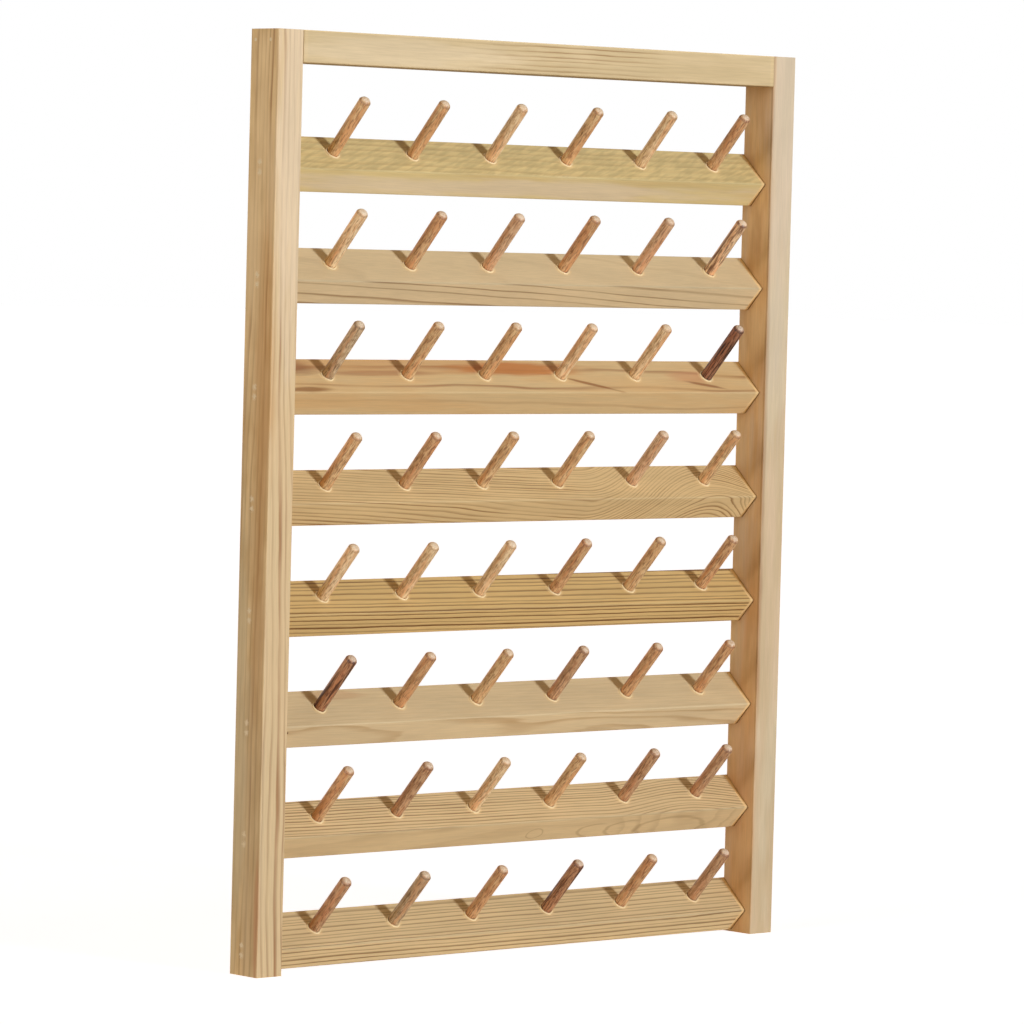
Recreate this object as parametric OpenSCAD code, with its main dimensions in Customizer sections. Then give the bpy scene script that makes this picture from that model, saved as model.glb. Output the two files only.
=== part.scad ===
/* [Frame] */
// Width of a side stile, seen from the front
stile_w = 18; // [14:0.5:26]
// Depth of the frame stock, from the wall to the front
frame_d = 24; // [21:0.5:34]
// Height of the top rail
top_rail_h = 18; // [14:0.5:26]
// Rounding sanded along the long edges of the stiles and the top rail
arris_r = 0.8; // [0.3:0.1:1.5]
// Room from the ridge of the highest peg rail up to the top of the frame
head_room = 76; // [50:1:110]
// Room from the foot of the stiles up to the ridge of the lowest peg rail
foot_room = 14; // [13:0.5:40]

/* [Peg rails] */
// Number of peg rails, one above another
rail_count = 8; // [1:1:8]
// Distance from one peg rail to the next
rail_pitch = 62; // [50:1:80]
// Width of the sloping upper face of a peg rail, from the ridge to the wall
upper_face_w = 27; // [25:0.5:29]
// Width of the sloping lower face, which is the thickness of the bar
lower_face_w = 18.5; // [15:0.5:21]
// Slope of the upper face above level
face_slope = 43; // [40:1:48]
// Rounding along the front ridge
ridge_r = 1; // [0.3:0.1:2]
// Rounding along the bottom edge
bottom_r = 1.6; // [0.5:0.1:3]
// Rounding along the two edges at the wall
wall_edge_r = 0.4; // [0.2:0.1:1]

/* [Pegs] */
// Number of pegs on each rail
peg_count = 6; // [1:1:6]
// Distance from one peg to the next along the rail
peg_pitch = 58.8; // [40:0.2:80]
// Room from the middle of an end peg to the side stile
peg_end_room = 35; // [25:1:60]
// Diameter of a peg
peg_d = 7; // [6.5:0.1:8]
// Length of a peg outside its rail, along its middle
peg_reach = 41; // [25:0.5:60]
// Length of a peg glued inside its rail
peg_seat = 7; // [5:0.5:8]
// Lean of the pegs, forward from upright
peg_lean = 43; // [34:1:48]
// Distance from the ridge to the middle of the peg holes, along the upper face
peg_set = 14; // [11:0.5:15]
// Height of the rounded tip of a peg
tip_h = 2.5; // [1:0.1:3.2]
// How much thinner the pressed and glued tail of a peg is, all round
tail_press = 0.25; // [0.2:0.05:0.4]
// Rise from the hole's mouth to where a peg has its full thickness
tail_rise = 0.6; // [0.5:0.1:1.5]
// Chamfer on the glued end of a peg
tail_chamfer = 0.5; // [0.2:0.1:1]
// Width of the chamfer round the mouth of a peg hole
mouth_chamfer = 0.6; // [0.2:0.1:1.2]
// Glue space all round a peg in its hole
peg_fit = 0.05; // [0.02:0.01:0.15]
// Glue space under a peg in its hole
glue_pocket = 0.5; // [0.2:0.1:1]

/* [Brads] */
// Length of a brad, head and all
brad_length = 30; // [25:1:34]
// Diameter of a brad's shank
brad_d = 1.2; // [1:0.1:1.6]
// Diameter of a brad's head
brad_head_d = 2; // [1.8:0.1:2.6]
// Thickness of a brad's head
brad_head_h = 0.6; // [0.4:0.1:1]
// Depth of the brad heads below the outer face, for the filler over them
brad_sink = 1.5; // [0.5:0.1:3]
// Distance between the two brads in the end of a peg rail
brad_gap = 5.5; // [4:0.5:7]
// Distance of the peg rail brads from the wall
brad_back = 10; // [8:0.5:12]
// Distance of the rear top rail brad from the wall
top_brad_rear = 4; // [3:0.5:8]
// Distance of the front top rail brad from the wall
top_brad_front = 17; // [12:0.5:18]
// Distance of the top rail brads below the top of the frame
top_brad_drop = 6; // [4:0.5:9]
// Space all round a brad in the wood
brad_fit = 0.03; // [0.02:0.01:0.06]

/* [Hanging slots] */
// Diameter of the entry for a screw head
entry_d = 9.5; // [8:0.1:11]
// Width of the slot for the screw's shank
neck_w = 5; // [4:0.1:6]
// Rise from the entry to the top end of the slot
slot_rise = 12; // [8:0.5:16]
// Thickness of the lip that the screw head hooks behind
lip_t = 4; // [3:0.5:5]
// Depth of the slot behind the lip
head_pocket = 5; // [4:0.5:6]
// Distance of the entry below the top of the frame
entry_drop = 42; // [38:1:50]

/* [Hidden] */
$fn = 48;
EPS = 0.01;

// The wall plane is y = 0 and the origin is the middle of the top rail's back
inner_w = (peg_count - 1) * peg_pitch + 2 * peg_end_room;
rack_w = inner_w + 2 * stile_w;
rack_h = head_room + (rail_count - 1) * rail_pitch + foot_room;
top_z = top_rail_h / 2;
foot_z = top_z - rack_h;
stile_middle_x = (inner_w + stile_w) / 2;

// Where a rail's ridge stands in front of the wall, and how its faces run back
ridge_y = -upper_face_w * cos(face_slope);
up_the_slope = [cos(face_slope), sin(face_slope)];
down_the_slope = [sin(face_slope), -cos(face_slope)];
bottom_edge = [ridge_y, 0] + lower_face_w * down_the_slope;
back_face_foot = bottom_edge - bottom_edge.x / up_the_slope.x * up_the_slope;

// Where a peg leaves the upper face, and its hole
peg_foot = [ridge_y, 0] + peg_set * up_the_slope;
peg_r = peg_d / 2;
tail_r = peg_r - tail_press;
hole_r = tail_r + peg_fit;
hole_depth = peg_seat + glue_pocket;
tip_ball_r = (peg_r * peg_r + tip_h * tip_h) / (2 * tip_h);
mouth_reach = peg_d;

rail_names = [for (row = [1:rail_count]) str("peg_rail_", row)];
peg_names = [for (row = [1:rail_count], column = [1:peg_count]) peg_name(row, column)];

function peg_name(row, column) = str("peg_r", row, "_c", column);
function ridge_z(row) = top_z - head_room - (row - 1) * rail_pitch;
function peg_x(column) = (column - (peg_count + 1) / 2) * peg_pitch;
function unit(v) = v / norm(v);

// One corner of an outline, rounded by an arc that meets both sides smoothly
function rounded_corner(before, corner, after, r, steps = 4) =
    let (
        to_before = unit(before - corner),
        to_after = unit(after - corner),
        half_angle = acos(to_before * to_after) / 2,
        centre = corner + unit(to_before + to_after) * r / sin(half_angle),
        start = corner + to_before * r / tan(half_angle) - centre,
        finish = corner + to_after * r / tan(half_angle) - centre,
        start_angle = atan2(start.y, start.x),
        turn = atan2(start.x * finish.y - start.y * finish.x, start * finish)
    )
    [for (step = [0:steps])
        let (angle = start_angle + turn * step / steps)
        centre + r * [cos(angle), sin(angle)]];

function rounded_outline(corners, radii) =
    let (count = len(corners))
    [for (i = [0:count - 1])
        each rounded_corner(
            corners[(i + count - 1) % count], corners[i], corners[(i + 1) % count], radii[i]
        )];

function rectangle(w, d) = [[-w / 2, 0], [w / 2, 0], [w / 2, -d], [-w / 2, -d]];

// A length of wood along X with the outline given in Y and Z
module stick_along_x(length, outline) {
    rotate([90, 0, 90])
        linear_extrude(height = length, center = true)
            polygon(outline);
}

// A brad's shape along X with its head first, or the hole for it with space all round
module brad_shape(space = 0) {
    rotate([0, 90, 0])
        cylinder(d = brad_head_d + 2 * space, h = brad_head_h);
    rotate([0, 90, 0])
        cylinder(d = brad_d + 2 * space, h = brad_length + space);
}

// Puts its children at every brad of the left side, head at the punched depth
module at_left_brads() {
    head_x = -rack_w / 2 + brad_sink;
    for (y = [-top_brad_rear, -top_brad_front])
        translate([head_x, y, top_z - top_brad_drop])
            children();
    for (row = [1:rail_count], side = [-1, 1])
        translate([head_x, -brad_back, ridge_z(row) + side * brad_gap / 2])
            children();
}

// A brad's hole, with the punched pocket over the head
module brad_holes() {
    at_left_brads() {
        union() {
            brad_shape(brad_fit);
            translate([-brad_sink - EPS, 0, 0])
                rotate([0, 90, 0])
                    cylinder(d = brad_head_d + 2 * brad_fit, h = brad_sink + 2 * EPS);
        }
    }
}

// Everything that the brads of both sides pass through
module all_brad_holes() {
    brad_holes();
    mirror([1, 0, 0])
        brad_holes();
}

// A keyhole cut from the wall plane: round entry, narrow neck upwards, wide pocket behind
module hanging_slot() {
    pocket_depth = lip_t + head_pocket;
    translate([0, EPS, 0])
        rotate([90, 0, 0])
            cylinder(d = entry_d, h = pocket_depth + EPS);
    translate([0, EPS, slot_rise])
        rotate([90, 0, 0])
            cylinder(d = neck_w, h = lip_t + 2 * EPS);
    translate([-neck_w / 2, -lip_t - EPS, 0])
        cube([neck_w, lip_t + 2 * EPS, slot_rise]);
    translate([0, -lip_t, slot_rise])
        rotate([90, 0, 0])
            cylinder(d = entry_d, h = head_pocket);
    translate([-entry_d / 2, -pocket_depth, 0])
        cube([entry_d, head_pocket, slot_rise]);
}

module left_stile_shape() {
    difference() {
        translate([-stile_middle_x, 0, foot_z])
            linear_extrude(height = rack_h)
                polygon(rounded_outline(rectangle(stile_w, frame_d), [for (i = [0:3]) arris_r]));
        brad_holes();
        translate([-stile_middle_x, 0, top_z - entry_drop])
            hanging_slot();
    }
}

module left_stile() {
    color("burlywood")
        left_stile_shape();
}

module right_stile() {
    color("wheat")
        mirror([1, 0, 0])
            left_stile_shape();
}

module top_rail() {
    corners = [[0, -top_z], [0, top_z], [-frame_d, top_z], [-frame_d, -top_z]];
    color("navajowhite")
        difference() {
            stick_along_x(inner_w, rounded_outline(corners, [for (i = [0:3]) arris_r]));
            all_brad_holes();
        }
}

// Turns its children so that +Z runs out along a peg, from where it leaves its rail
module at_peg(row, column) {
    translate([peg_x(column), peg_foot.x, ridge_z(row) + peg_foot.y])
        rotate([peg_lean, 0, 0])
            children();
}

module peg_hole() {
    translate([0, 0, -hole_depth])
        cylinder(r = hole_r, h = hole_depth + mouth_reach);
    translate([0, 0, -mouth_chamfer])
        cylinder(r1 = hole_r, r2 = hole_r + mouth_chamfer + mouth_reach, h = mouth_chamfer + mouth_reach);
}

// A square-edged bar turned on its corner and planed flush with the backs of the stiles
module peg_rail(row) {
    corners = [[ridge_y, 0], bottom_edge, back_face_foot, [0, upper_face_w * up_the_slope.y]];
    color("tan")
        difference() {
            translate([0, 0, ridge_z(row)])
                stick_along_x(
                    inner_w,
                    rounded_outline(corners, [ridge_r, bottom_r, wall_edge_r, wall_edge_r])
                );
            for (column = [1:peg_count])
                at_peg(row, column)
                    peg_hole();
            all_brad_holes();
        }
}

// A dowel with a ball-shaped tip, and a tail that is pressed thinner and chamfered
module peg(row, column) {
    shank_end = peg_reach - tip_h;
    color("peru")
        at_peg(row, column) {
            translate([0, 0, -peg_seat])
                cylinder(r1 = tail_r - tail_chamfer, r2 = tail_r, h = tail_chamfer);
            translate([0, 0, -peg_seat + tail_chamfer])
                cylinder(r = tail_r, h = peg_seat - tail_chamfer + tail_rise);
            translate([0, 0, tail_rise])
                cylinder(r = peg_r, h = shank_end - tail_rise);
            intersection() {
                translate([0, 0, peg_reach - tip_ball_r])
                    sphere(r = tip_ball_r);
                translate([-peg_r - EPS, -peg_r - EPS, shank_end])
                    cube([2 * (peg_r + EPS), 2 * (peg_r + EPS), tip_h + EPS]);
            }
        }
}

module brads() {
    color("silver") {
        at_left_brads()
            brad_shape();
        mirror([1, 0, 0])
            at_left_brads()
                brad_shape();
    }
}

left_stile();
right_stile();
top_rail();
for (row = [1:rail_count])
    peg_rail(row);
for (row = [1:rail_count], column = [1:peg_count])
    peg(row, column);
brads();
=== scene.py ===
import math

import bmesh
import bpy
from mathutils import Matrix, Vector


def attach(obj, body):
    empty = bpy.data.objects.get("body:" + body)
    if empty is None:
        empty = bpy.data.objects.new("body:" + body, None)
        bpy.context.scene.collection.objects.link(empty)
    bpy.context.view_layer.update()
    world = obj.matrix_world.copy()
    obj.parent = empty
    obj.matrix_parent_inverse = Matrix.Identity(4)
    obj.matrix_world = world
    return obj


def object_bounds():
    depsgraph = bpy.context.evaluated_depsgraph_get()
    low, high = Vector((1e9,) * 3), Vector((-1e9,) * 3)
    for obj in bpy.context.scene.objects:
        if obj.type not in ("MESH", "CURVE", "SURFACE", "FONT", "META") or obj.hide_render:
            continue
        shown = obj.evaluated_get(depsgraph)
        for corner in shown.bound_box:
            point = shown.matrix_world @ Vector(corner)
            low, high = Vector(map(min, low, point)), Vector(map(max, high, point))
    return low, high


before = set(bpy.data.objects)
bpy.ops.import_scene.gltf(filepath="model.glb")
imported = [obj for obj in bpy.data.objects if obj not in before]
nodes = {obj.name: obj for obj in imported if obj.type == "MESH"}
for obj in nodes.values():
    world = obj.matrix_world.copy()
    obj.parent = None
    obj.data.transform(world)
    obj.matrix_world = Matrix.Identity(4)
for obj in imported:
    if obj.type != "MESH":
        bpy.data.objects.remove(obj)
cad_low, cad_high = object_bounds()
MM = 0.001
bpy.ops.object.select_all(action="DESELECT")
scene = bpy.context.scene
scene.view_settings.view_transform = "Standard"


# ---- Camera ----
# The camera stands to the left of the rack and a little above its middle. It is a long
# way off with a long lens, so the far stile is only a little smaller than the near one.
camera_side = math.radians(-42.12)
camera_rise = math.radians(2.814)
camera_roll = math.radians(1.477)
camera_distance = 3.216
camera_aim = Vector((-0.0187, -0.024, -0.2592))
camera_lens = 197.56
camera_film = 36
camera_sees_to = 50


def direction(side, rise):
    """The way to a thing that stands so far to the right of straight in front, and so high."""
    return Vector((
        math.sin(side) * math.cos(rise), -math.cos(side) * math.cos(rise), math.sin(rise),
    ))


camera_data = bpy.data.cameras.new("camera")
camera_data.lens = camera_lens
camera_data.sensor_width = camera_film
camera_data.clip_end = camera_sees_to
camera = bpy.data.objects.new("camera", camera_data)
scene.collection.objects.link(camera)
to_camera = direction(camera_side, camera_rise)
level_view = (-to_camera).to_track_quat("-Z", "Y").to_matrix().to_4x4()
camera_place = Matrix.Translation(camera_aim + to_camera * camera_distance)
camera.matrix_world = camera_place @ level_view @ Matrix.Rotation(camera_roll, 4, "Z")
scene.camera = camera


# ---- Studio ----
# A white room with a pale floor under the stiles. The main soft lamp is almost straight in
# front, and a weaker, wider one far to the left lights the sides. Those behind, at the far
# right and over the top are for whoever looks at the rack from there.
room_level = 0.255
room_colour = (1.0, 0.68, 0.34, 1)
white_level = 1
white_colour = (1, 1, 1, 1)
lamps = {
    "main_lamp": {
        "side": 10, "rise": 3, "level": 0.765, "width": 10, "colour": (0.98, 1.055, 1.19),
    },
    "side_lamp": {"side": -85, "rise": 3, "level": 0.535, "width": 24, "colour": (1.0, 1.01, 1.06)},
    "right_lamp": {"side": 94, "rise": 0, "level": 0.45, "width": 4, "colour": (1.0, 1.02, 1.04)},
    "back_lamp": {"side": 172, "rise": 0, "level": 0.62, "width": 4, "colour": (1.0, 1.04, 1.1)},
    "top_lamp": {"side": 0, "rise": 90, "level": 0.62, "width": 4, "colour": (1.0, 1.02, 1.06)},
}
lamps_that_gleam = ("main_lamp", "side_lamp")
floor_size = 40
floor_colour = (0.93, 0.93, 0.93, 1)
floor_roughness = 0.95
floor_gloss = 0.1
floor_lift = 0.82
floor_lift_colour = (0.9, 0.925, 1.0, 1)

# The room is white to the camera, in gleams and through glass, and a dim warm fill otherwise.
room = bpy.data.worlds.new("white_room")
room.use_nodes = True
scene.world = room
tree = room.node_tree
tree.nodes.clear()
ray = tree.nodes.new("ShaderNodeLightPath")
seen = ray.outputs["Is Camera Ray"]
for kind in ("Is Glossy Ray", "Is Transmission Ray"):
    either = tree.nodes.new("ShaderNodeMath")
    either.operation = "MAXIMUM"
    tree.links.new(seen, either.inputs[0])
    tree.links.new(ray.outputs[kind], either.inputs[1])
    seen = either.outputs[0]
choose = tree.nodes.new("ShaderNodeMixShader")
tree.links.new(seen, choose.inputs[0])
for place, colour, level in ((1, room_colour, room_level), (2, white_colour, white_level)):
    background = tree.nodes.new("ShaderNodeBackground")
    background.inputs["Color"].default_value = colour
    background.inputs["Strength"].default_value = level
    tree.links.new(background.outputs[0], choose.inputs[place])
room_out = tree.nodes.new("ShaderNodeOutputWorld")
tree.links.new(choose.outputs[0], room_out.inputs["Surface"])

for lamp_name, lamp in lamps.items():
    lamp_data = bpy.data.lights.new(lamp_name, "SUN")
    lamp_data.energy = lamp["level"] * math.pi
    lamp_data.color = lamp["colour"]
    lamp_data.angle = math.radians(lamp["width"])
    lamp_object = bpy.data.objects.new(lamp_name, lamp_data)
    scene.collection.objects.link(lamp_object)
    lamp_object.visible_glossy = lamp_name in lamps_that_gleam
    to_lamp = direction(math.radians(lamp["side"]), math.radians(lamp["rise"]))
    lamp_object.rotation_euler = (-to_lamp).to_track_quat("-Z", "Y").to_euler()

# The top lamp lights the frame alone, and leaves the peg rails as the photograph has them.
frame_pieces = bpy.data.collections.new("frame_pieces")
for piece_name in ("left_stile", "right_stile", "top_rail"):
    frame_pieces.objects.link(nodes[piece_name])
scene.objects["top_lamp"].light_linking.receiver_collection = frame_pieces

# The floor glows to the camera alone, so that it is white there and still takes a shadow.
floor_finish = bpy.data.materials.new("pale_floor")
floor_finish.use_nodes = True
tree = floor_finish.node_tree
floor_shader = tree.nodes["Principled BSDF"]
floor_shader.inputs["Base Color"].default_value = floor_colour
floor_shader.inputs["Roughness"].default_value = floor_roughness
floor_shader.inputs["Specular IOR Level"].default_value = floor_gloss
floor_shader.inputs["Emission Color"].default_value = floor_lift_colour
ray = tree.nodes.new("ShaderNodeLightPath")
lift = tree.nodes.new("ShaderNodeMath")
lift.operation = "MULTIPLY"
lift.inputs[1].default_value = floor_lift
tree.links.new(ray.outputs["Is Camera Ray"], lift.inputs[0])
tree.links.new(lift.outputs[0], floor_shader.inputs["Emission Strength"])
bpy.ops.mesh.primitive_plane_add(size=floor_size, location=(0, 0, cad_low.z))
floor = bpy.context.object
floor.name = "floor"
floor.data.materials.append(floor_finish)


# ---- Stiles ----
# The two upright sides, of planed and lacquered pine with the grain running up and down.
# The left one is striped with darker late wood; the right one is paler and almost plain.
head_room = 76          # from the top of the rack down to the first peg rail's ridge
rail_pitch = 62
brads_apart = 5.5
brad_y = -10
first_ridge_z = cad_high.z / MM - head_room


class Finish:
    """One finish of a material: its node tree, with short ways to add nodes and join them."""

    def __init__(self, name):
        self.material = bpy.data.materials.new(name)
        self.material.use_nodes = True
        self.tree = self.material.node_tree
        self.shader = self.tree.nodes["Principled BSDF"]
        self.here = self.add("ShaderNodeTexCoord").outputs["Object"]

    def add(self, kind, settings=None, **inputs):
        """A node with its settings and with its inputs by name, where _ stands for a space."""
        node = self.tree.nodes.new(kind)
        for setting, value in (settings or {}).items():
            setattr(node, setting, value)
        for socket, value in inputs.items():
            self.join(value, node.inputs[socket.replace("_", " ")])
        return node

    def join(self, value, socket):
        """Links another node's output to the socket, or sets a number or a colour on it."""
        if isinstance(value, bpy.types.NodeSocket):
            self.tree.links.new(value, socket)
        else:
            socket.default_value = value

    def put(self, **inputs):
        """Gives the shader its inputs by name, where _ stands for a space."""
        for socket, value in inputs.items():
            self.join(value, self.shader.inputs[socket.replace("_", " ")])

    def sum(self, operation, *values):
        node = self.add("ShaderNodeMath", {"operation": operation})
        for value, socket in zip(values, node.inputs):
            self.join(value, socket)
        return node.outputs[0]

    def plus(self, first, second):
        return self.sum("ADD", first, second)

    def minus(self, first, second):
        return self.sum("SUBTRACT", first, second)

    def times(self, first, second):
        return self.sum("MULTIPLY", first, second)

    def away(self, value, middle):
        """How far the value is from the middle, either way."""
        return self.sum("ABSOLUTE", self.minus(value, middle))

    def vector_sum(self, operation, *vectors):
        node = self.add("ShaderNodeVectorMath", {"operation": operation})
        for vector, socket in zip(vectors, node.inputs):
            self.join(vector, socket)
        return node.outputs

    def scaled(self, vector, factors):
        return self.vector_sum("MULTIPLY", vector, factors)[0]

    def length(self, vector):
        return self.vector_sum("LENGTH", vector)["Value"]

    def facing(self, way):
        """How far the surface faces that way, from -1 to 1."""
        normal = self.add("ShaderNodeNewGeometry").outputs["Normal"]
        return self.vector_sum("DOT_PRODUCT", normal, way)["Value"]

    def placed(self, at=(0, 0, 0), turn=(0, 0, 0), size=(1000, 1000, 1000), of=None):
        """The place, from the point at, on axes turned by so many degrees. Along each of them
        the length in size counts as 1; at and size are in mm."""
        return self.add(
            "ShaderNodeMapping", {"vector_type": "TEXTURE"},
            Vector=self.here if of is None else of, Location=Vector(at) * MM,
            Rotation=[math.radians(angle) for angle in turn], Scale=Vector(size) * MM,
        ).outputs[0]

    def noise(self, place, steps=(1, 1, 1), detail=2, roughness=0.5):
        """Clouds, from 0 to 1, with so many steps to the metre along each axis."""
        return self.add(
            "ShaderNodeTexNoise", Vector=self.scaled(place, steps), Scale=1, Detail=detail,
            Roughness=roughness,
        ).outputs["Fac"]

    def spread(self, value, low, high, to_low=0, to_high=1):
        """The value between low and high, spread smoothly over to_low to to_high."""
        node = self.add("ShaderNodeMapRange", {"interpolation_type": "SMOOTHSTEP"})
        for socket, number in zip(node.inputs, (value, low, high, to_low, to_high)):
            self.join(number, socket)
        return node.outputs[0]

    def mix(self, amount, first, second):
        """The first colour where the amount is 0, and the second where it is 1."""
        node = self.add("ShaderNodeMix", {"data_type": "RGBA"})
        for index, value in ((0, amount), (6, first), (7, second)):
            self.join(value, node.inputs[index])
        return node.outputs[2]

    def shaded(self, colour, value, saturation=1):
        node = self.add(
            "ShaderNodeHueSaturation", Color=colour, Value=value, Saturation=saturation,
        )
        return node.outputs[0]

    def relief(self, height, strength, depth):
        """Pits and ridges of the surface, so many mm deep."""
        bump = self.add("ShaderNodeBump", Height=height, Strength=strength, Distance=depth * MM)
        self.put(Normal=bump.outputs[0])


def paint(red, green, blue):
    """A colour as a screen shows it, 0 to 255, for a shader."""
    return tuple(((part / 255 + 0.055) / 1.055) ** 2.4 for part in (red, green, blue)) + (1,)


def pine(
    name, along, pith, ring, early, late, depth, lean=(0, 0, 0), wave=1.5, patches=0.4,
    late_from=0.25, faces=(1, 1), seed=0.0, swell=None, patch=None, side=None, tint=None,
    streaks=(), ovals=(), dabs=None, knot=None, stain=None, joint_at=None, joint_depth=0.85,
    fade=None, painted_face_light=(1, 1), painted_ridge_shade=None, flecks=0.0,
):
    """Pine with its grain along X or Z. Lengths are in mm, colours as a screen shows them.

    Its year rings run round the log's heart, which passes through the point pith and leans
    off the stick by so many degrees. ring is one year's growth, early and late its two
    colours, late_from the part of it where it darkens, and depth how dark it gets. wave is
    how far the lines wander, patches how much they fade in places, faces how strong they are
    on upward and downward faces, and seed sets one stick off from another. swell bends them
    round a place where a branch was near, and patch is the only stretch where they show.

    side is the colouring of faces to the left and right, and tint clouds the whole. streaks,
    ovals and a knot are marks in the wood, and a streak may be painted shade instead, dabs
    the smears of filler round the brads, stain the glue's round the pegs, and joint_at the
    end that meets a stile, where a pale line of glue is partly a painted highlight and the
    dark of the joint partly painted shade. fade darkens a stick downwards. painted_face_light
    is painted light and shade on its upward and downward faces, painted_ridge_shade a painted
    shade on its front ridge, and flecks are the silky ones on wood that was sawn through its heart."""
    finish = Finish(name)
    lengthways = Vector((1, 0, 0)) if along == "X" else Vector((0, 0, 1))
    across = Vector((1, 1, 1)) - lengthways
    x, y, z = finish.add("ShaderNodeSeparateXYZ", Vector=finish.here).outputs
    log = finish.placed(pith, lean)
    grain = finish.vector_sum("ADD", log, (seed, seed * 0.7, seed * 1.3))[0]

    def clouds(steps_across, steps_along, detail, roughness):
        """Clouds drawn out along the grain, with so many steps to the metre."""
        steps = across * steps_across + lengthways * steps_along
        return finish.noise(grain, steps, detail, roughness)

    # The year rings, which wander, shiver and swell. No two years are of one width.
    slow = clouds(40, 7, 2, 0.45)
    ripple = clouds(220, 28, 2, 0.5)
    slow_sway = finish.minus(slow, 0.5)
    fine_sway = finish.minus(ripple, 0.5)
    wander = wave * 2.4
    shiver = 0.9
    sway = finish.plus(
        finish.times(slow_sway, wander * MM), finish.times(fine_sway, shiver * MM),
    )
    radius = finish.plus(finish.length(finish.scaled(log, across)), sway)
    if swell:
        from_branch = finish.away(x, swell["at"] * MM)
        pushed = finish.spread(from_branch, 0, swell["width"] * MM, swell["rise"] * MM, 0)
        radius = finish.plus(radius, pushed)
    years = finish.sum("DIVIDE", radius, ring * MM)
    unevenness = finish.add(
        "ShaderNodeTexNoise", {"noise_dimensions": "1D"}, W=years, Scale=0.45, Detail=1,
    )
    years = finish.plus(years, finish.times(unevenness.outputs["Fac"], 1.1))

    # The dark line that ends each year. It is fainter in some years, in places, and on the
    # faces where faces says so.
    part = finish.sum("FRACT", years)
    line = finish.times(
        finish.spread(part, late_from, 0.88), finish.spread(part, 0.9, 1.0, 1, 0),
    )
    year = finish.plus(finish.sum("FLOOR", years), seed * 31 + 0.5)
    luck = finish.add("ShaderNodeTexWhiteNoise", {"noise_dimensions": "1D"}, W=year)
    line = finish.times(line, finish.spread(luck.outputs["Value"], 0, 1, 0.55, 1))
    fading = clouds(60, 12, 2, 0.5)
    line = finish.times(line, finish.spread(fading, 0.35, 0.62, 1 - patches, 1))
    upwards = finish.spread(finish.facing((0, 0, 1)), -0.3, 0.3)
    on_faces = finish.spread(upwards, 0, 1, faces[1] * depth, faces[0] * depth)
    line = finish.times(line, on_faces)
    if patch:
        from_patch = finish.away(x, patch["at"] * MM)
        width = patch["width"] * MM
        line = finish.times(line, finish.spread(from_patch, width * 0.6, width, 1, 0.15))

    # The ground colour, which may differ on the sides, and the lines over it.
    ground = paint(*early)
    if side:
        sideways = finish.spread(finish.sum("ABSOLUTE", finish.facing((1, 0, 0))), 0.55, 0.95)
        mottle = finish.spread(clouds(95, 26, 3, 0.5), 0.36, 0.66)
        side_colour = finish.mix(mottle, paint(*side["colour"]), paint(*side["mottle"]))
        ground = finish.mix(sideways, ground, side_colour)
        line = finish.times(line, finish.spread(sideways, 0, 1, 1, side["lines"]))
    colour = finish.mix(line, ground, paint(*late))
    cloud = clouds(75, 9, 3, 0.55)
    if tint:
        colour = finish.mix(finish.spread(cloud, 0.42, 0.68, 0, 0.7), colour, paint(*tint))

    # Streaks of resin, of paler or darker wood or of painted shade, the rims of ovals, and a knot.
    for streak in streaks:
        near = finish.placed(streak["at"], streak.get("turn", (0, 0, 0)), streak["size"])
        off = finish.plus(finish.length(near), finish.times(fine_sway, 0.9))
        off = finish.plus(off, finish.times(slow_sway, 1.2))
        amount = finish.spread(off, 0.35, 1.0, streak["depth"], 0)
        colour = finish.mix(amount, colour, paint(*streak["colour"]))
    for oval in ovals:
        near = finish.placed(oval["at"], size=oval["size"])
        off = finish.plus(finish.length(near), finish.times(fine_sway, 0.3))
        rim = finish.spread(finish.away(off, 1), 0.02, 0.14, 0.3, 0)
        if oval.get("open"):
            to_right = finish.add("ShaderNodeSeparateXYZ", Vector=near).outputs["X"]
            rim = finish.times(rim, finish.spread(to_right, -0.1, 0.45, 1, 0))
        colour = finish.mix(rim, colour, paint(*late))
    if knot:
        off = finish.vector_sum("DISTANCE", finish.here, knot["at"] * MM)["Value"]
        inside = finish.spread(off, knot["r"] * 0.6 * MM, knot["r"] * 1.3 * MM, 1, 0)
        colour = finish.mix(inside, colour, paint(*knot["colour"]))

    # Filler smeared in crumbs round each pair of brads, on the stile's outer face.
    if dabs:
        from_rail = finish.minus(z, dabs["z"] * MM)
        from_rail = finish.sum("PINGPONG", from_rail, dabs["pitch"] / 2 * MM)
        from_brad = finish.minus(from_rail, dabs["apart"] / 2 * MM)
        high = finish.sum("DIVIDE", from_brad, dabs["r"] * MM)
        wide = finish.sum("DIVIDE", finish.minus(y, dabs["y"] * MM), dabs["r"] * MM)
        off = finish.length(finish.add("ShaderNodeCombineXYZ", X=high, Y=wide).outputs[0])
        crumbs = finish.spread(finish.noise(finish.here, (800, 800, 800), 2, 0.6), 0.42, 0.56)
        smear = finish.times(finish.spread(off, 0.4, 1.15, 0.85, 0), crumbs)
        under_top = finish.spread(z, dabs["top"] * MM, (dabs["top"] + 5) * MM, 1, 0)
        smear = finish.times(smear, under_top)
        smear = finish.times(smear, finish.spread(finish.facing(dabs["way"]), 0.9, 0.98))
        colour = finish.mix(smear, colour, paint(*dabs["colour"]))

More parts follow.
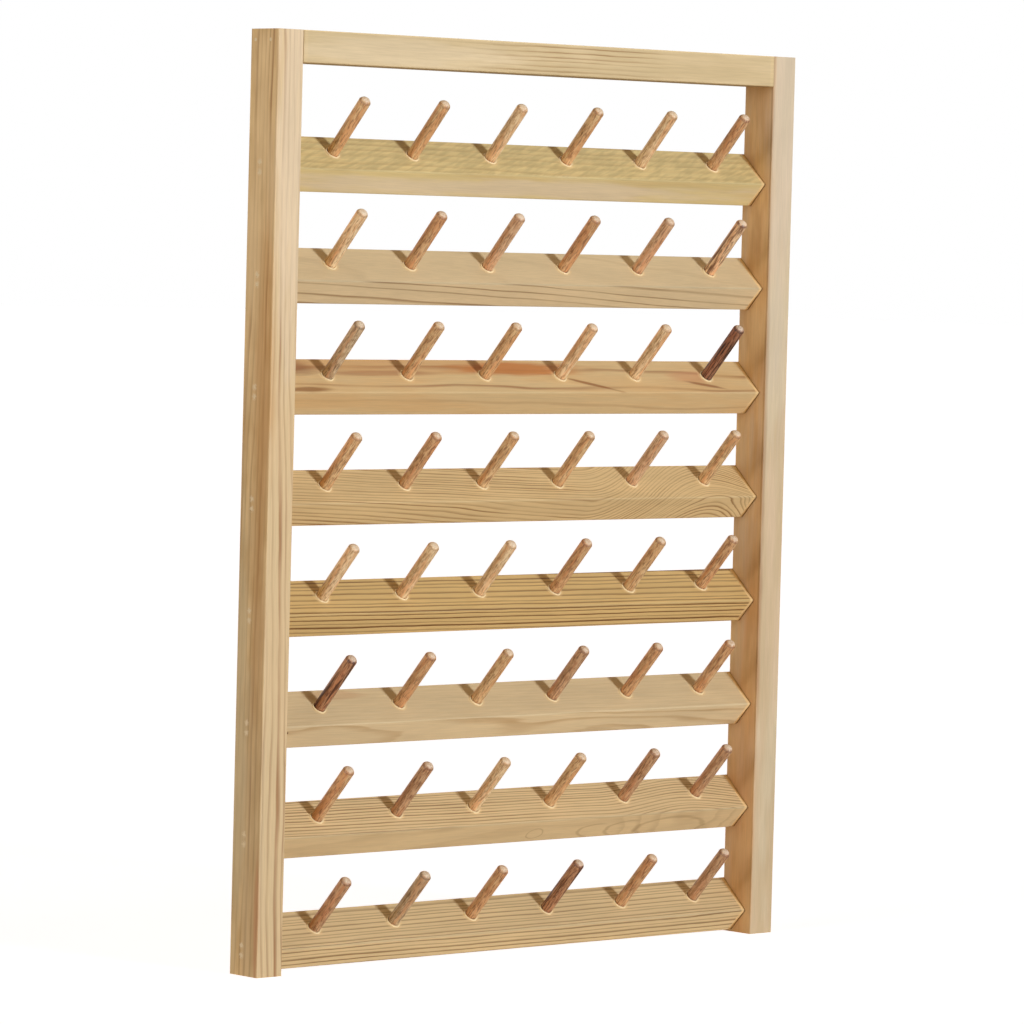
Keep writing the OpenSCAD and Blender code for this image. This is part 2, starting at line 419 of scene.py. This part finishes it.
    # Glue wiped from the feet of the pegs, strongest at the lower left of each.
    if stain:
        half_pitch = stain["pitch"] / 2
        foot = stain["at"]
        beside = finish.minus(x, (half_pitch - stain["aside"]) * MM)
        off = finish.add(
            "ShaderNodeCombineXYZ", X=finish.sum("PINGPONG", beside, half_pitch * MM),
            Y=finish.minus(y, foot.y * MM), Z=finish.minus(z, foot.z * MM),
        ).outputs[0]
        inner, outer = stain["r"]
        wet = finish.spread(finish.length(off), inner * MM, outer * MM, stain["depth"], 0)
        wet = finish.times(wet, upwards)
        below = finish.spread(z, (foot.z - 2) * MM, (foot.z + 3) * MM, 1, 0.2)
        colour = finish.mix(finish.times(wet, below), colour, paint(*stain["colour"]))

    # Where the stick meets a stile, a pale line of glue that is partly a painted highlight, and
    # then the dark of the joint, which is partly painted shade.
    if joint_at:
        pale_from, pale_full = joint_at - 3.8, joint_at - 2.0
        dark_from, dark_full = joint_at - 1.1, joint_at - 0.6
        end = finish.sum("ABSOLUTE", x)
        pale_glue_and_highlight = finish.spread(end, pale_from * MM, pale_full * MM, 0, joint_depth)
        colour = finish.mix(pale_glue_and_highlight, colour, paint(246, 212, 150))
        dark_joint_and_shade = finish.spread(end, dark_from * MM, dark_full * MM, 0, joint_depth)
        dark_joint_and_shade = finish.times(dark_joint_and_shade, finish.spread(upwards, 0, 1, 1, 0.5))
        colour = finish.mix(dark_joint_and_shade, colour, paint(122, 80, 38))

    # Light and dark: the fibres first, then whole faces, and the silky flecks. Painted light and
    # shade make the upward and downward faces and the front ridge lighter or darker.
    fibres = clouds(1500, 55, 3, 0.6)
    value = finish.spread(fibres, 0.25, 0.75, 0.94, 1.06)
    value = finish.times(value, finish.spread(cloud, 0.3, 0.7, 0.95, 1.05))
    if fade:
        from_z, to_z, darkest = fade
        value = finish.times(value, finish.spread(z, from_z * MM, to_z * MM, darkest, 1))
    # Painted light and shade: the upward and downward faces are made lighter or darker.
    if painted_face_light != (1, 1):
        value = finish.times(value, finish.spread(upwards, 0, 1, painted_face_light[1], painted_face_light[0]))
    # Painted shade: the ridge that faces the front, where the main lamp falls fullest, is darkened.
    if painted_ridge_shade:
        painted_ridge_darkening = finish.spread(finish.facing((0, -1, 0)), 0.76, 0.94, 1, painted_ridge_shade)
        value = finish.times(value, painted_ridge_darkening)
    if flecks:
        turned = finish.placed(turn=(0, -15, 17), size=(14, 2.2, 2.2), of=grain)
        fleck = finish.spread(finish.noise(turned), 0.32, 0.68, 1 - flecks, 1 + flecks * 0.6)
        on_top = finish.spread(finish.facing((0, 0, 1)), 0.0, 0.4)
        value = finish.times(value, finish.sum("POWER", fleck, on_top))

    # A satin coat. Level tops have no gleam, which at a low angle would turn them white.
    gleam = 0.3
    finish.put(
        Base_Color=finish.shaded(colour, value),
        Roughness=finish.spread(fibres, 0.3, 0.7, 0.46, 0.58), Specular_IOR_Level=gleam,
    )
    finish.put(
        Specular_IOR_Level=finish.spread(finish.facing((0, 0, 1)), 0.85, 0.98, gleam, 0),
    )
    finish.relief(finish.minus(fibres, finish.times(line, 0.5)), 0.25, 0.1)
    return finish.material


def dress(node_name, finish_material):
    """Puts the finish on a solid that keeps its own shape."""
    slots = nodes[node_name].data.materials
    slots.clear()
    slots.append(finish_material)


# The smears follow the brads of the peg rails, and stop below the top rail's.
brad_marks = {
    "y": brad_y, "z": first_ridge_z, "pitch": rail_pitch, "apart": brads_apart, "r": 2.3,
    "top": -45, "colour": (234, 216, 180),
}
dress("left_stile", pine(
    "left_stile_pine", "Z", pith=(-122, 60, 0), ring=2.6, depth=0.8, seed=1.3,
    early=(217, 191, 145), late=(150, 96, 48), tint=(210, 182, 138), lean=(0.5, -0.4, 0),
    wave=2.6, patches=0.35, late_from=0.46, fade=(-330, -60, 0.95),
    side={"lines": 0.95, "colour": (232, 202, 150), "mottle": (208, 174, 120)},
    dabs={**brad_marks, "way": (-1, 0, 0)},
    streaks=[
        {"at": (-190, -24, -40), "size": (15, 5, 150), "depth": 0.5, "colour": (226, 206, 176)},
        {"at": (-200, -12, -50), "size": (6, 14, 110), "depth": 0.35, "colour": (242, 216, 168)},
        {"at": (-200, -19, -175), "size": (6, 8, 110), "depth": 0.45, "colour": (196, 144, 82)},
        {"at": (-200, -14, -250), "size": (6, 10, 90), "depth": 0.3, "colour": (190, 146, 92)},
        {"at": (-200, -18, -330), "size": (6, 6, 80), "depth": 0.4, "colour": (180, 132, 76)},
        {"at": (-200, -3, -370), "size": (6, 10, 190), "depth": 0.55, "colour": (210, 194, 156)},
        {"at": (-200, -16, -440), "size": (6, 12, 110), "depth": 0.35, "colour": (200, 178, 140)},
        {"at": (-199, -22, -482), "size": (3, 2, 44), "depth": 0.45, "colour": (196, 128, 88)},
    ],
))
dress("right_stile", pine(
    "right_stile_pine", "Z", pith=(196, -150, 0), ring=3.4, depth=0.45, seed=4.1,
    early=(210, 191, 155), late=(194, 162, 116), tint=(208, 183, 150), lean=(0.3, 0.3, 0),
    wave=2.5, patches=0.7, fade=(-450, 0, 0.975),
    side={"lines": 0.3, "colour": (232, 194, 138), "mottle": (212, 168, 114)},
    dabs={**brad_marks, "way": (1, 0, 0)},
    streaks=[
        {"at": (191, -24, -50), "size": (14, 5, 170), "depth": 0.5, "colour": (208, 192, 168)},
        {"at": (182, -13, -430), "size": (4, 18, 150), "depth": 0.4, "colour": (220, 166, 112)},
        {"at": (182, -12, 0), "size": (4, 22, 34), "depth": 0.4, "colour": (240, 204, 150)},
        # Painted shade: a dark line down the inner face beside the front arris.
        {"at": (182, -23.4, -150), "size": (3, 1.3, 420), "depth": 0.5, "colour": (150, 104, 60)},
    ],
))


# ---- Top rail ----
# A stick of the same stock set between the stiles at the top, butted, glued and nailed.
# Its grain is level, with a patch of fine dark lines near the middle.
rail_end = 182
dress("top_rail", pine(
    "top_rail_pine", "X", pith=(0, 30, 88), ring=2.2, depth=1.0, seed=8.1,
    early=(207, 184, 138), late=(150, 112, 62), tint=(214, 192, 150), lean=(0, 0.4, 0.2),
    wave=1.2, patches=0.6, late_from=0.5, patch={"at": 20, "width": 88},
    joint_at=rail_end, joint_depth=0.13,
    streaks=[
        {"at": (-125, -24, 0), "size": (95, 5, 10), "depth": 0.6, "colour": (218, 198, 160)},
        {"at": (130, -24, 0), "size": (90, 5, 10), "depth": 0.5, "colour": (200, 177, 132)},
    ],
))


# ---- Peg rails ----
# Eight square-edged bars turned on their corners between the stiles, with a sloping upper
# face that carries the pegs. Each is cut from another board, so the figure differs.
rail_rows = range(1, 9)
rail_face_w = 27
peg_pitch = 58.8
peg_set_in = 14
rail_slope = math.radians(43)
up_slope = Vector((0, math.cos(rail_slope), math.sin(rail_slope)))
down_slope = Vector((0, math.sin(rail_slope), -math.cos(rail_slope)))
rail_ridge = {
    row: Vector((0, -rail_face_w * math.cos(rail_slope), first_ridge_z - rail_pitch * (row - 1)))
    for row in rail_rows
}
rail_figure = {
    1: dict(
        pith=(40, 60), ring=5.0, depth=0.3, early=(220, 198, 139), lean=(0, 1.2, 0.5), wave=4,
        flecks=0.13, painted_ridge_shade=0.84,
    ),
    2: dict(
        pith=(30, -75), ring=6.2, depth=1.0, early=(217, 194, 151), late=(126, 86, 40),
        lean=(0, 4, 0), wave=3.5, late_from=0.7, faces=(0.12, 1),
    ),
    3: dict(
        pith=(-20, -85), ring=9.5, depth=0.8, early=(220, 191, 140), late=(150, 92, 48),
        tint=(210, 172, 118), lean=(0, 0.6, 0.3), wave=5, patches=0.35, late_from=0.72,
        faces=(1, 0.5), painted_ridge_shade=0.92, painted_face_light=(1, 0.95),
    ),
    4: dict(
        pith=(10, 74), ring=1.8, depth=0.95, early=(222, 193, 140), late=(146, 102, 52),
        lean=(0, 3, 0.6), wave=1.8, patches=0.5, late_from=0.45, painted_ridge_shade=0.9,
        painted_face_light=(1, 0.95), swell={"at": 152, "width": 104, "rise": 40},
    ),
    5: dict(
        pith=(-10, 90), ring=2.3, depth=1.0, early=(218, 185, 123), late=(108, 66, 28),
        lean=(0, 0.3, 0), wave=0.9, patches=0.12, late_from=0.44,
    ),
    6: dict(
        pith=(-66, -70), ring=2.5, depth=0.7, early=(217, 194, 151), lean=(0, 0.8, 0.2),
        wave=3, patches=0.5, late_from=0.5, faces=(0.2, 1), painted_ridge_shade=0.92,
        painted_face_light=(1, 1.05),
    ),
    7: dict(
        pith=(62, 52), ring=1.9, depth=0.95, early=(220, 193, 145), late=(130, 88, 42),
        lean=(0, 0.7, -0.5), wave=1.8, patches=0.35, late_from=0.5, faces=(1, 0.25),
        painted_face_light=(1.06, 0.96), swell={"at": 138, "width": 70, "rise": 7},
    ),
    8: dict(
        pith=(4, 82), ring=2.1, depth=0.84, early=(222, 196, 148), late=(120, 80, 36),
        lean=(0, -0.2, 0.1), wave=0.8, patches=0.15, late_from=0.5, painted_face_light=(1, 1.05),
    ),
}
# Most rails have a painted shade on the front ridge.
usual_figure = {"late": (168, 126, 72), "painted_ridge_shade": 0.8}

# A mark is so far along its rail from the middle, and so far from the ridge, up the upper
# face or down the lower one.
rail_streaks = {
    1: [{"x": 0, "down": 10, "size": (320, 9, 9), "depth": 0.8, "colour": (222, 203, 168)}],
    3: [
        {"x": -80, "up": 21, "size": (150, 7, 7), "depth": 0.4, "colour": (202, 148, 92)},
        {"x": -2, "up": 19, "size": (56, 6, 6), "depth": 0.9, "colour": (196, 126, 66)},
        {"x": -174, "up": 19, "size": (26, 8, 8), "depth": 0.7, "colour": (140, 88, 52)},
        {"x": -112, "up": 15, "size": (46, 3, 3), "depth": 0.5, "colour": (160, 96, 54)},
        {"x": 49, "up": 7, "size": (28, 1.4, 1.4), "turn": (0, 11, -12), "depth": 0.8,
         "colour": (146, 92, 46)},
        {"x": 134, "up": 13, "size": (24, 6, 6), "depth": 0.5, "colour": (206, 142, 100)},
        {"x": 143, "up": 6, "size": (20, 1.6, 1.6), "turn": (0, 8, -9), "depth": 0.8,
         "colour": (150, 96, 58)},
        {"x": -168, "up": 2.6, "size": (26, 2.6, 2.6), "depth": 0.75, "colour": (142, 94, 50)},
    ],
    6: [{"x": -134, "up": 22, "size": (26, 4, 4), "depth": 0.35, "colour": (192, 140, 98)}],
}
rail_ovals = {
    7: [
        {"x": 16, "down": 11, "size": (6, 4, 4)},
        {"x": 66, "down": 12, "size": (16, 6, 6), "open": True},
        {"x": 92, "down": 12, "size": (19, 7, 7), "open": True},
        {"x": 125, "down": 14, "size": (27, 10, 10)},
    ],
}
rail_knots = {6: [{"x": -176, "down": 5, "r": 0.9, "colour": (92, 58, 30)}]}


def marks_on_rail(marks, row):
    """The marks of this rail, each with the point where it is."""
    placed = []
    for mark in marks.get(row, []):
        over_face = down_slope * mark["down"] if "down" in mark else up_slope * mark["up"]
        placed.append({**mark, "at": Vector((mark["x"], 0, 0)) + rail_ridge[row] + over_face})
    return placed


for row in rail_rows:
    settings = {**usual_figure, **rail_figure[row]}
    pith_y, pith_above_ridge = settings.pop("pith")
    knots = marks_on_rail(rail_knots, row)
    dress(f"peg_rail_{row}", pine(
        f"peg_rail_{row}_pine", "X", pith=(0, pith_y, pith_above_ridge + rail_ridge[row].z),
        seed=row * 2.7, joint_at=rail_end, streaks=marks_on_rail(rail_streaks, row),
        ovals=marks_on_rail(rail_ovals, row), knot=knots[0] if knots else None,
        stain={
            "at": rail_ridge[row] + up_slope * peg_set_in, "pitch": peg_pitch, "aside": 0.7,
            "r": (4.4, 6.6), "depth": 0.7, "colour": (238, 208, 154),
        },
        **settings,
    ))


# ---- Pegs ----
# Dowels of a reddish hardwood with long open pores, each from another stick, so the
# tones run from pale straw to dark brown. The rounded tips show paler end grain.
peg_lean = 43
peg_reach = 42
peg_axis = Vector((0, -math.sin(math.radians(peg_lean)), math.cos(math.radians(peg_lean))))
peg_saturation = 0.95
peg_ior = 1.45
painted_foot_light = 1.2
shank_value = 1.08
painted_light_reach = 28
end_grain_colour = (226, 208, 180)
striped_tones = ("streaky", "dark", "black")
peg_tones = {
    "golden": {"ground": (192, 149, 100), "pore": (132, 88, 50), "glow": (218, 184, 132)},
    "red": {"ground": (184, 136, 88), "pore": (122, 74, 42), "glow": (210, 170, 120)},
    "pink": {"ground": (196, 152, 110), "pore": (134, 92, 60), "glow": (216, 180, 138)},
    "pale": {"ground": (206, 170, 122), "pore": (150, 108, 66), "glow": (230, 202, 156)},
    "brown": {"ground": (172, 126, 86), "pore": (108, 68, 40), "glow": (196, 156, 114)},
    "grey": {"ground": (172, 140, 100), "pore": (100, 74, 48), "glow": (200, 174, 136)},
    "dark": {"ground": (164, 110, 72), "pore": (72, 38, 22), "glow": (184, 134, 92)},
    "black": {"ground": (138, 90, 62), "pore": (38, 20, 14), "glow": (160, 110, 78)},
    "streaky": {"ground": (216, 174, 128), "pore": (104, 62, 36), "glow": (236, 202, 156)},
}
peg_rows = [
    "golden golden pale golden pale red",
    "pale red pink red pink streaky",
    "grey golden golden pale pale black",
    "golden red golden golden pink golden",
    "pale pale pale red golden red",
    "dark red golden brown red red",
    "red brown pale golden brown brown",
    "brown grey red dark red brown",
]


def dowel(tone, ground, pore, glow):
    """The finish of one tone of peg: its two mottled colours, and the dark of its pores."""
    finish = Finish(f"peg_{tone}")
    stick = finish.placed(turn=(peg_lean, 0, 0))
    mottle = finish.noise(stick, (560, 560, 210), 3, 0.65)
    bands = finish.noise(stick, (330, 330, 26), 2, 0.5)
    pores = finish.noise(stick, (1500, 1500, 190), 2, 0.6)
    colour = finish.mix(finish.spread(mottle, 0.38, 0.6), paint(*ground), paint(*glow))
    blush = [part * share for part, share in zip(glow, (0.97, 0.82, 0.70))]
    colour = finish.mix(finish.spread(bands, 0.44, 0.66, 0, 0.75), colour, paint(*blush))
    if tone in striped_tones:
        stripes = finish.noise(stick, (620, 620, 42), 2, 0.6)
        colour = finish.mix(finish.spread(stripes, 0.5, 0.62, 0, 0.9), colour, paint(*pore))
    colour = finish.mix(finish.spread(pores, 0.49, 0.64, 0, 0.72), colour, paint(*pore))

    # The tip: a darker line round its shoulder, and end grain on the crown.
    shoulder = finish.facing(peg_axis)
    edge = finish.times(
        finish.spread(shoulder, 0.2, 0.36), finish.spread(shoulder, 0.5, 0.72, 1, 0),
    )
    colour = finish.mix(finish.times(edge, 0.55), colour, paint(*pore))
    crown = finish.spread(shoulder, 0.6, 0.86)
    speckle = finish.spread(finish.noise(stick, (1100, 1100, 1100), 2, 0.5), 0.42, 0.6, 0, 0.55)
    end_grain = finish.mix(speckle, paint(*end_grain_colour), paint(*ground))
    colour = finish.mix(finish.times(crown, 0.8), colour, end_grain)

    # Painted light: every row's pegs are a little paler towards the foot, lifting the shade there.
    # The height along the pegs' axis starts again at each rail.
    from_origin = finish.vector_sum("DOT_PRODUCT", finish.here, peg_axis)["Value"]
    first_foot = (rail_ridge[1] + up_slope * peg_set_in).dot(peg_axis)
    up_the_peg = finish.sum(
        "WRAP", finish.minus(from_origin, first_foot * MM),
        peg_reach * MM, (peg_reach - rail_pitch * peg_axis.z) * MM,
    )
    value = finish.spread(up_the_peg, 0, painted_light_reach * MM, painted_foot_light, shank_value)
    finish.put(
        Base_Color=finish.shaded(colour, value, peg_saturation),
        Roughness=finish.spread(pores, 0.4, 0.7, 0.42, 0.62), IOR=peg_ior,
    )
    finish.relief(finish.times(pores, -1.0), 0.3, 0.12)
    return finish.material


peg_finish = {tone: dowel(tone, **colours) for tone, colours in peg_tones.items()}
for row, tones in enumerate(peg_rows, start=1):
    for column, tone in enumerate(tones.split(), start=1):
        dress(f"peg_r{row}_c{column}", peg_finish[tone])


# ---- Glue at the feet of the pegs ----
# Each peg is set in glue, which is squeezed out round its foot and fills the countersink
# of the hole. It has dried to a thin cream fillet, a little fuller at the lower left.
fillet_r = 3.95
fillet_bead_r = 0.55
fillet_flatness = 0.6
fillet_sides = [
    {"sign": -1, "beyond": 3.2, "resize": (1.13, 1.13, 1.4)},      # full, at the lower left
    {"sign": 1, "beyond": 2.0, "resize": (0.93, 0.93, 0.8)},       # lean, at the upper right
]
peg_columns = [column - 3.5 for column in range(1, 7)]

glue_finish = Finish("dried_glue")
lumps = glue_finish.noise(glue_finish.here, (900, 900, 900), 2, 0.5)
glue_finish.put(
    Base_Color=glue_finish.mix(lumps, paint(240, 212, 156), paint(251, 234, 188)),
    Roughness=glue_finish.spread(lumps, 0.3, 0.7, 0.3, 0.5),
)
glue_finish.relief(lumps, 0.4, 0.1)


def copy_of(model, place):
    """A copy of the model with a mesh of its own, put in its place."""
    copy = model.copy()
    copy.data = model.data.copy()
    scene.collection.objects.link(copy)
    copy.data.transform(place)
    return copy


def joined(copies, name):
    """The copies as one piece."""
    bpy.ops.object.select_all(action="DESELECT")
    for copy in copies:
        copy.select_set(True)
    bpy.context.view_layer.objects.active = copies[0]
    bpy.ops.object.join()
    bpy.context.object.name = name
    return bpy.context.object


bpy.ops.mesh.primitive_torus_add(
    major_radius=fillet_r * MM, minor_radius=fillet_bead_r * MM, major_segments=40,
    minor_segments=8, location=(0, 0, 0),
)
fillet = bpy.context.object
bpy.ops.object.mode_set(mode="EDIT")
bpy.ops.transform.resize(value=(1, 1, fillet_flatness))
for side in fillet_sides:
    edit = bmesh.from_edit_mesh(fillet.data)
    for vertex in edit.verts:
        to_upper_right = 1.3 * vertex.co.x + vertex.co.y
        vertex.select = side["sign"] * to_upper_right > side["beyond"] * MM
    edit.select_flush_mode()
    bmesh.update_edit_mesh(fillet.data)
    bpy.ops.transform.resize(value=side["resize"], center_override=(0, 0, 0))
bpy.ops.mesh.select_all(action="SELECT")
bpy.ops.mesh.vertices_smooth(factor=0.4, repeat=2)
bpy.ops.object.mode_set(mode="OBJECT")
bpy.ops.object.shade_smooth()
fillet.data.materials.append(glue_finish.material)
for row in rail_rows:
    foot_line = rail_ridge[row] + up_slope * peg_set_in
    fillets = []
    for column in peg_columns:
        foot = (foot_line + Vector((column * peg_pitch, 0, 0))) * MM
        turn = Matrix.Rotation(rail_slope, 4, "X")
        fillets.append(copy_of(fillet, Matrix.Translation(foot) @ turn))
    glue = joined(fillets, f"glue_fillets_{row}")
    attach(glue, "root")
bpy.data.objects.remove(fillet)


# ---- Brads ----
# Bright steel wire brads, driven through the stiles into the ends of the rails and
# punched below the surface.
brad_finish = Finish("bright_wire")
drawn = brad_finish.noise(brad_finish.here, (60, 3000, 3000), 2, 0.5)
brad_finish.put(
    Base_Color=brad_finish.mix(drawn, paint(178, 178, 182), paint(208, 208, 210)),
    Roughness=brad_finish.spread(drawn, 0.3, 0.7, 0.25, 0.4), Metallic=1,
)
dress("brads", brad_finish.material)


# ---- Filler over the brads ----
# The punched holes over the brads are stopped with a pale wood filler, which is pressed
# in, sanded flush and shrinks to a slight dish as it dries.
filler_r = 1.02
filler_depth = 1.45
filler_below_face = 0.01
dish_ring = 0.25
dish_drops = (0.09, 0.06, 0.03)
rack_half_w = 200
brad_places = [(-4, 3), (-17, 3)]          # y and z of the two that hold the top rail
for row in rail_rows:
    for height in (-brads_apart / 2, brads_apart / 2):
        brad_places.append((brad_y, rail_ridge[row].z + height))

filler_finish = Finish("wood_filler")
crumbs = filler_finish.noise(filler_finish.here, (1400, 1400, 1400), 3, 0.6)
filler_finish.put(
    Base_Color=filler_finish.mix(crumbs, paint(214, 190, 148), paint(242, 228, 196)),
    Roughness=filler_finish.spread(crumbs, 0.3, 0.7, 0.7, 0.9),
)
filler_finish.relief(crumbs, 0.5, 0.15)

bpy.ops.mesh.primitive_cylinder_add(
    vertices=20, radius=filler_r * MM, depth=filler_depth * MM, location=(0, 0, 0),
    rotation=(0, math.radians(-90), 0),
)
plug = bpy.context.object
bpy.ops.object.transform_apply(location=True, rotation=True, scale=True)
bpy.ops.object.mode_set(mode="EDIT")
edit = bmesh.from_edit_mesh(plug.data)
for face in edit.faces:
    face.select = face.normal.x < -0.9
edit.select_flush_mode()
bmesh.update_edit_mesh(plug.data)
for drop in dish_drops:
    bpy.ops.mesh.inset(thickness=dish_ring * MM)
    bpy.ops.transform.translate(value=(drop * MM, 0, 0))
bpy.ops.object.mode_set(mode="OBJECT")
bpy.ops.object.shade_smooth_by_angle(angle=math.radians(40))
plug.data.materials.append(filler_finish.material)
plug_x = rack_half_w - filler_depth / 2 - filler_below_face
for side_name, outwards, turned in (("left", -1, 0), ("right", 1, math.pi)):
    plugs = []
    for y, z in brad_places:
        place = Matrix.Translation(Vector((outwards * plug_x, y, z)) * MM)
        plugs.append(copy_of(plug, place @ Matrix.Rotation(turned, 4, "Z")))
    filler = joined(plugs, f"filler_{side_name}")
    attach(filler, "root")
bpy.data.objects.remove(plug)
